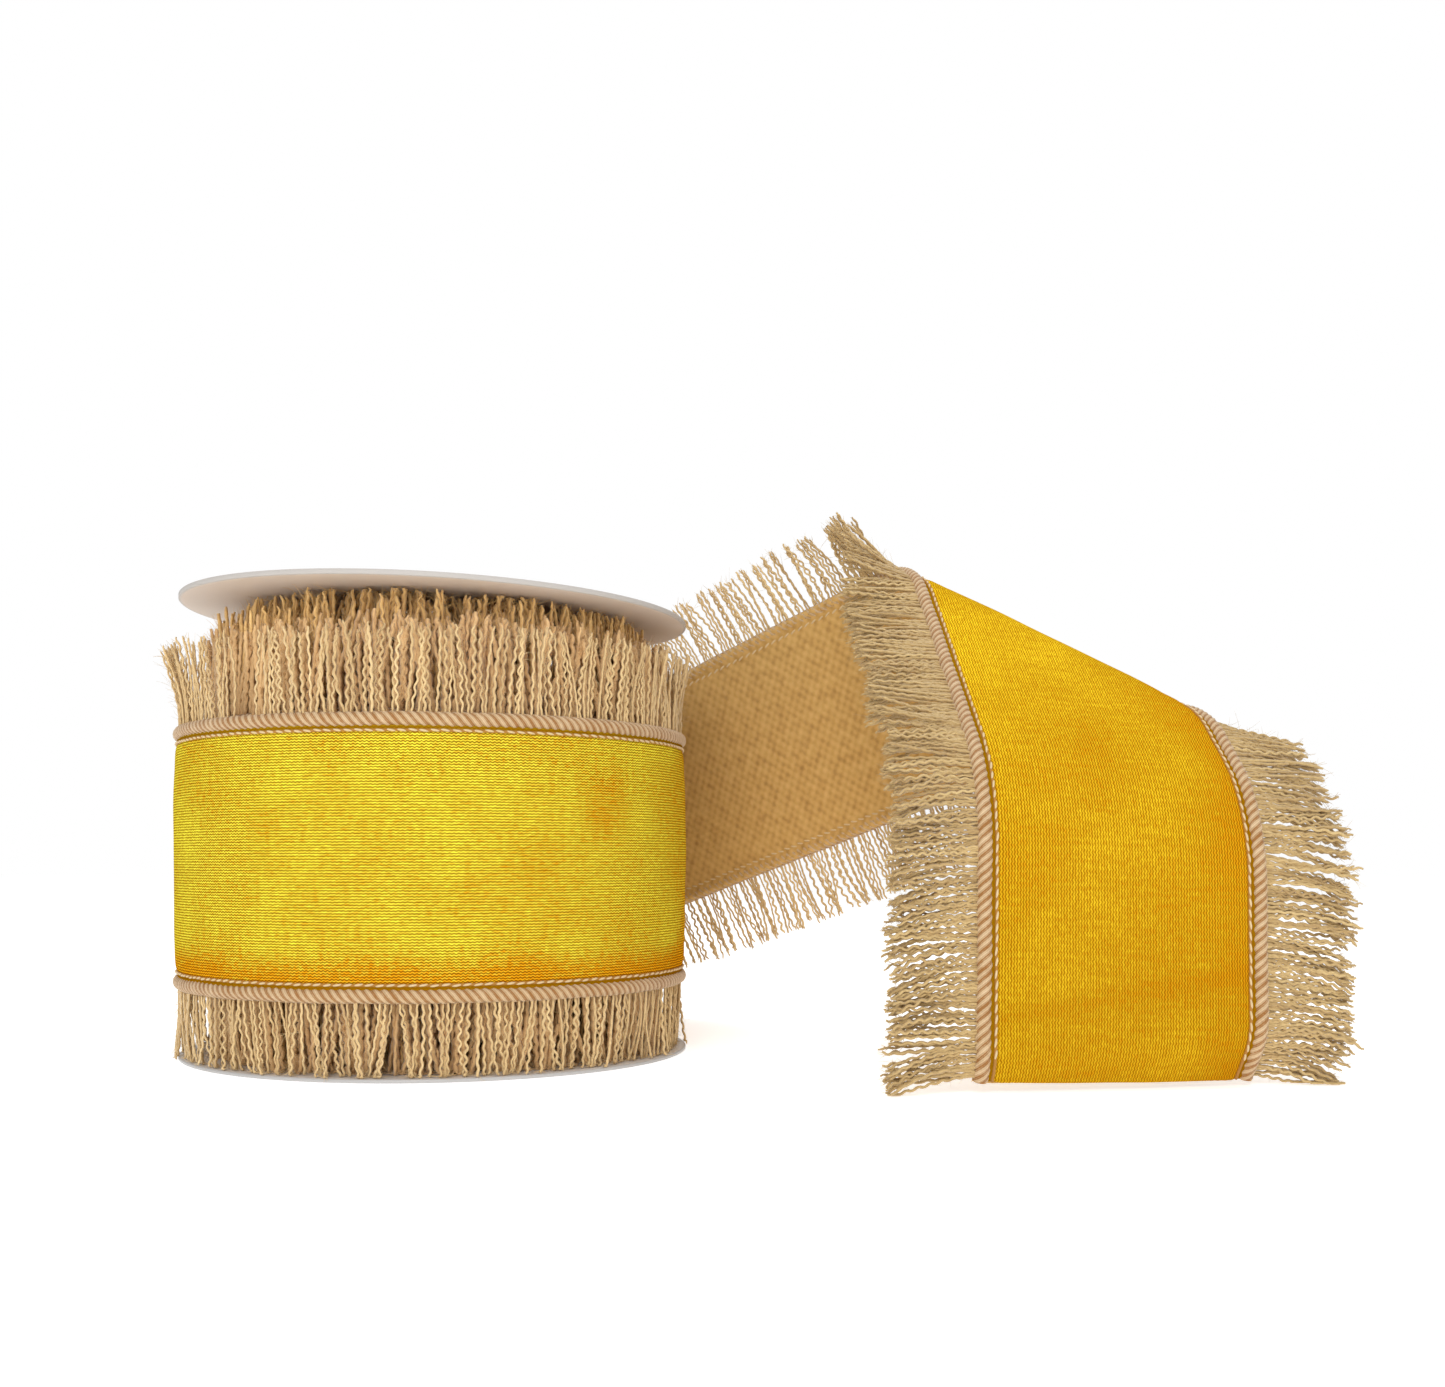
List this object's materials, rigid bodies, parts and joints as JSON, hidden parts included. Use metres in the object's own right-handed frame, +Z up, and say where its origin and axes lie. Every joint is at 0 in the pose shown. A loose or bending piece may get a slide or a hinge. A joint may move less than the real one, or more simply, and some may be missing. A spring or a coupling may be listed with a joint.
{
  "type": "ribbon spool",
  "caption": "Upright spool of wide wired satin ribbon with burlap backing and jute fringe; its loose tail rises, folds over and comes down to the table.",
  "frame": {"origin": "centre of the footprint of the whole part, on the table", "axes": "+Z up along the spool's axis, +X from the spool towards the flap, +Y towards the back, where the tail leaves the roll"},
  "size_m": [0.2733, 0.1735, 0.1401],
  "materials": {
    "board": "matte",
    "bottom_disc": "satin",
    "kraft": "matte",
    "tape": "satin",
    "satin": "satin",
    "burlap": "coarse weave",
    "piping": "matte",
    "wire": "satin",
    "thread": "matte",
    "fringe": "coarse yarn"
  },
  "bodies": {
    "spool": {"core_tube": "kraft", "top_flange": "board", "bottom_flange": "bottom_disc", "top_hub_collar": "board", "bottom_hub_collar": "board", "start_tape": "tape", "wound_ribbon": "piping", "wound_upper_fringe": "fringe", "wound_lower_fringe": "fringe"},
    "lead": {"wrap_satin": "satin", "wrap_burlap": "burlap", "wrap_upper_piping": "piping", "wrap_upper_wire": "wire", "wrap_upper_stitching": "thread", "wrap_upper_fringe": "fringe", "wrap_lower_piping": "piping", "wrap_lower_wire": "wire", "wrap_lower_stitching": "thread", "wrap_lower_fringe": "fringe", "band_satin": "satin", "band_burlap": "burlap", "band_upper_piping": "piping", "band_upper_wire": "wire", "band_upper_stitching": "thread", "band_upper_fringe": "fringe", "band_lower_piping": "piping", "band_lower_wire": "wire", "band_lower_stitching": "thread", "band_lower_fringe": "fringe"},
    "flap": {"flap_satin": "satin", "flap_burlap": "burlap", "flap_upper_piping": "piping", "flap_upper_wire": "wire", "flap_upper_stitching": "thread", "flap_upper_fringe": "fringe", "flap_lower_piping": "piping", "flap_lower_wire": "wire", "flap_lower_stitching": "thread", "flap_lower_fringe": "fringe"}
  },
  "joints": [
    {"name": "unwind", "type": "hinge", "parent": "spool", "child": "lead", "pos_m": [-0.072, -0.0054, 0.049], "axis": [0, 0, 1], "continuous": true},
    {"name": "fold_open", "type": "hinge", "parent": "lead", "child": "flap", "pos_m": [0.07905, -0.01499, 0.10514], "axis": [-0.7823, 0.4004, 0.4773], "range_deg": [0, 90]}
  ]
}
